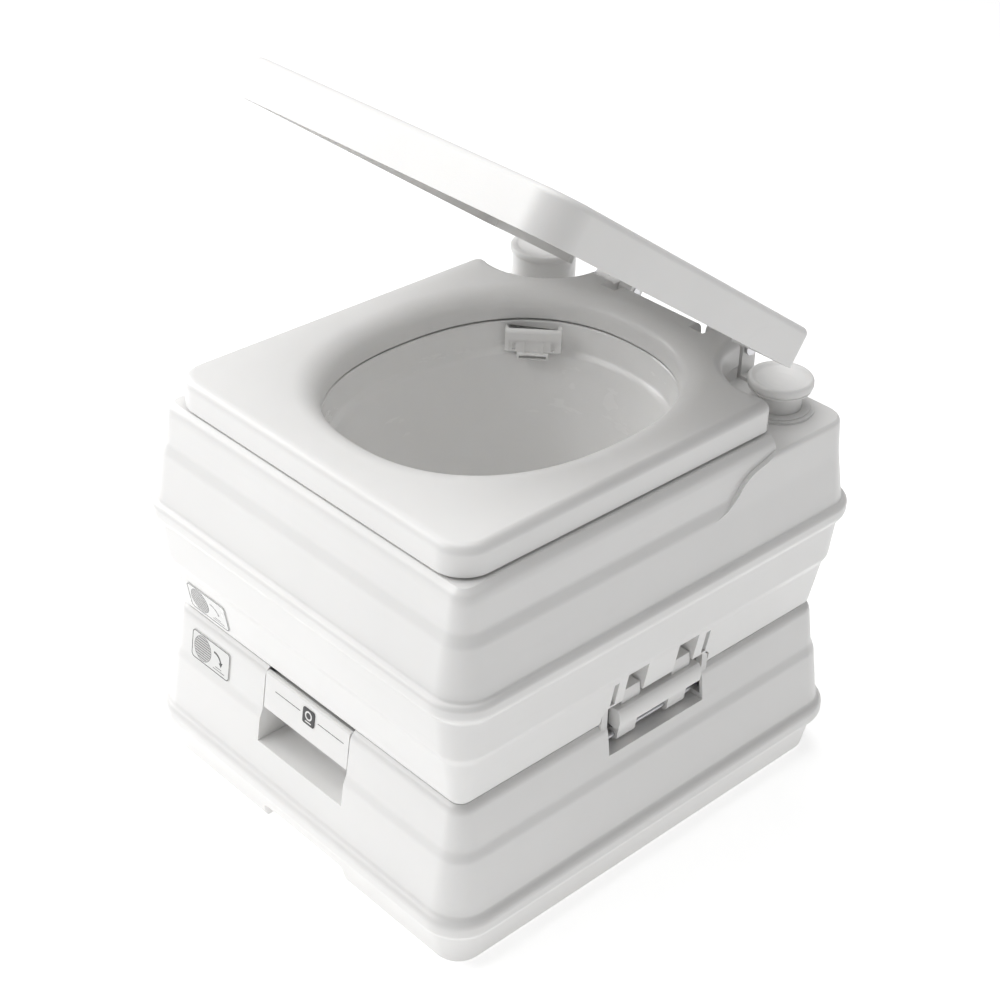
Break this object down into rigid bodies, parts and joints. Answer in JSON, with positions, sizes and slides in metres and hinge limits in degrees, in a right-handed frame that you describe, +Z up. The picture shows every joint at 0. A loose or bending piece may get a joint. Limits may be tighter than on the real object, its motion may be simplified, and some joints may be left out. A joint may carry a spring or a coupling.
{
  "type": "portable camp toilet",
  "caption": "Portable flushing toilet in two stacked moulded tanks, with a bowl, hinged seat and lid, push pump, slide valve, side latches and a swivelling pour-out spout.",
  "frame": {"origin": "middle of the body's footprint, on the floor", "axes": "+Z up, the front with the valve handle faces -Y, +X is the user's left when seated (the right-hand side seen from the front)"},
  "size_m": [0.383, 0.433, 0.5868],
  "materials": {
    "white_shell": "satin moulded polyethylene",
    "grey_plastic": "moulded, fine satin",
    "steel": "bright stainless",
    "rubber_seal": "moulded matt",
    "clear_hose": "milky extruded tube",
    "label": null,
    "black_mark": "printed film"
  },
  "bodies": {
    "waste_base": {"waste_tank": "white_shell", "fresh_tank": "white_shell", "bowl": "white_shell", "tank_gasket": "rubber_seal", "valve_frame": "grey_plastic", "valve_screws": "steel", "outlet_seal": "rubber_seal", "flush_nozzle": "white_shell", "flush_hose": "clear_hose", "pump_barrel": "grey_plastic", "pump_gland": "white_shell", "pump_spring": "steel", "suction_tube": "clear_hose", "filler_neck": "white_shell", "hinge_brackets": "white_shell", "bracket_screws": "steel", "hinge_pins": "steel", "latch_right_pin": "steel", "latch_left_pin": "steel", "tank_labels": "label"},
    "waste_valve": {"valve_blade": "grey_plastic", "valve_handle": "white_shell", "handle_screws": "steel", "handle_mark": "black_mark"},
    "flush_pump": {"pump_plunger": "white_shell", "pump_pad": "white_shell", "piston_seal": "rubber_seal"},
    "filler_ring": {"filler_gasket": "rubber_seal"},
    "filler_lid": {"filler_cap": "white_shell"},
    "seat_frame": {"seat": "white_shell", "seat_bumpers": "rubber_seal"},
    "lid_panel": {"lid": "white_shell", "lid_bumpers": "rubber_seal"},
    "right_latch": {"latch_right": "white_shell"},
    "left_latch": {"latch_left": "white_shell"},
    "spout": {"spout_elbow": "white_shell", "spout_seal": "rubber_seal"},
    "spout_end_cap": {"spout_cap": "grey_plastic", "spout_cap_seal": "rubber_seal"},
    "vent": {"vent_button": "grey_plastic"}
  },
  "joints": [
    {"name": "seat_hinge", "type": "hinge", "parent": "waste_base", "child": "seat_frame", "pos_m": [0, 0.188, 0.346], "axis": [-1, 0, 0], "range_deg": [0, 90]},
    {"name": "lid_hinge", "type": "hinge", "parent": "seat_frame", "child": "lid_panel", "pos_m": [0, 0.188, 0.346], "axis": [-1, 0, 0], "range_deg": [-35, 62]},
    {"name": "pump_press", "type": "slide", "parent": "waste_base", "child": "flush_pump", "axis": [0, 0, -1], "range_m": [0, 0.014], "stiffness_N_per_m": 600, "springref_m": -0.01, "deforming": ["pump_spring"]},
    {"name": "filler_cap_lift", "type": "slide", "parent": "waste_base", "child": "filler_ring", "axis": [0, 0, 1], "range_m": [0, 0.016]},
    {"name": "filler_cap_turn", "type": "hinge", "parent": "filler_ring", "child": "filler_lid", "pos_m": [-0.131, 0.168, 0.36], "axis": [0, 0, 1], "range_deg": [0, 90]},
    {"name": "valve_pull", "type": "slide", "parent": "waste_base", "child": "waste_valve", "axis": [0, -1, 0], "range_m": [0, 0.11]},
    {"name": "latch_right_turn", "type": "hinge", "parent": "waste_base", "child": "right_latch", "pos_m": [0.163, 0.005, 0.124], "axis": [0, 1, 0], "range_deg": [0, 35]},
    {"name": "latch_left_turn", "type": "hinge", "parent": "waste_base", "child": "left_latch", "pos_m": [-0.163, 0.005, 0.124], "axis": [0, -1, 0], "range_deg": [0, 35]},
    {"name": "spout_swivel", "type": "hinge", "parent": "waste_base", "child": "spout", "pos_m": [0.045, 0.18, 0.086], "axis": [0, 0, -1], "range_deg": [0, 90]},
    {"name": "spout_cap_turn", "type": "hinge", "parent": "spout", "child": "spout_end_cap", "pos_m": [-0.05, 0.18, 0.086], "axis": [-1, 0, 0], "range_deg": [0, 180]},
    {"name": "vent_press", "type": "slide", "parent": "waste_base", "child": "vent", "axis": [0, -1, 0], "range_m": [0, 0.003], "stiffness_N_per_m": 300, "springref_m": -0.004}
  ]
}
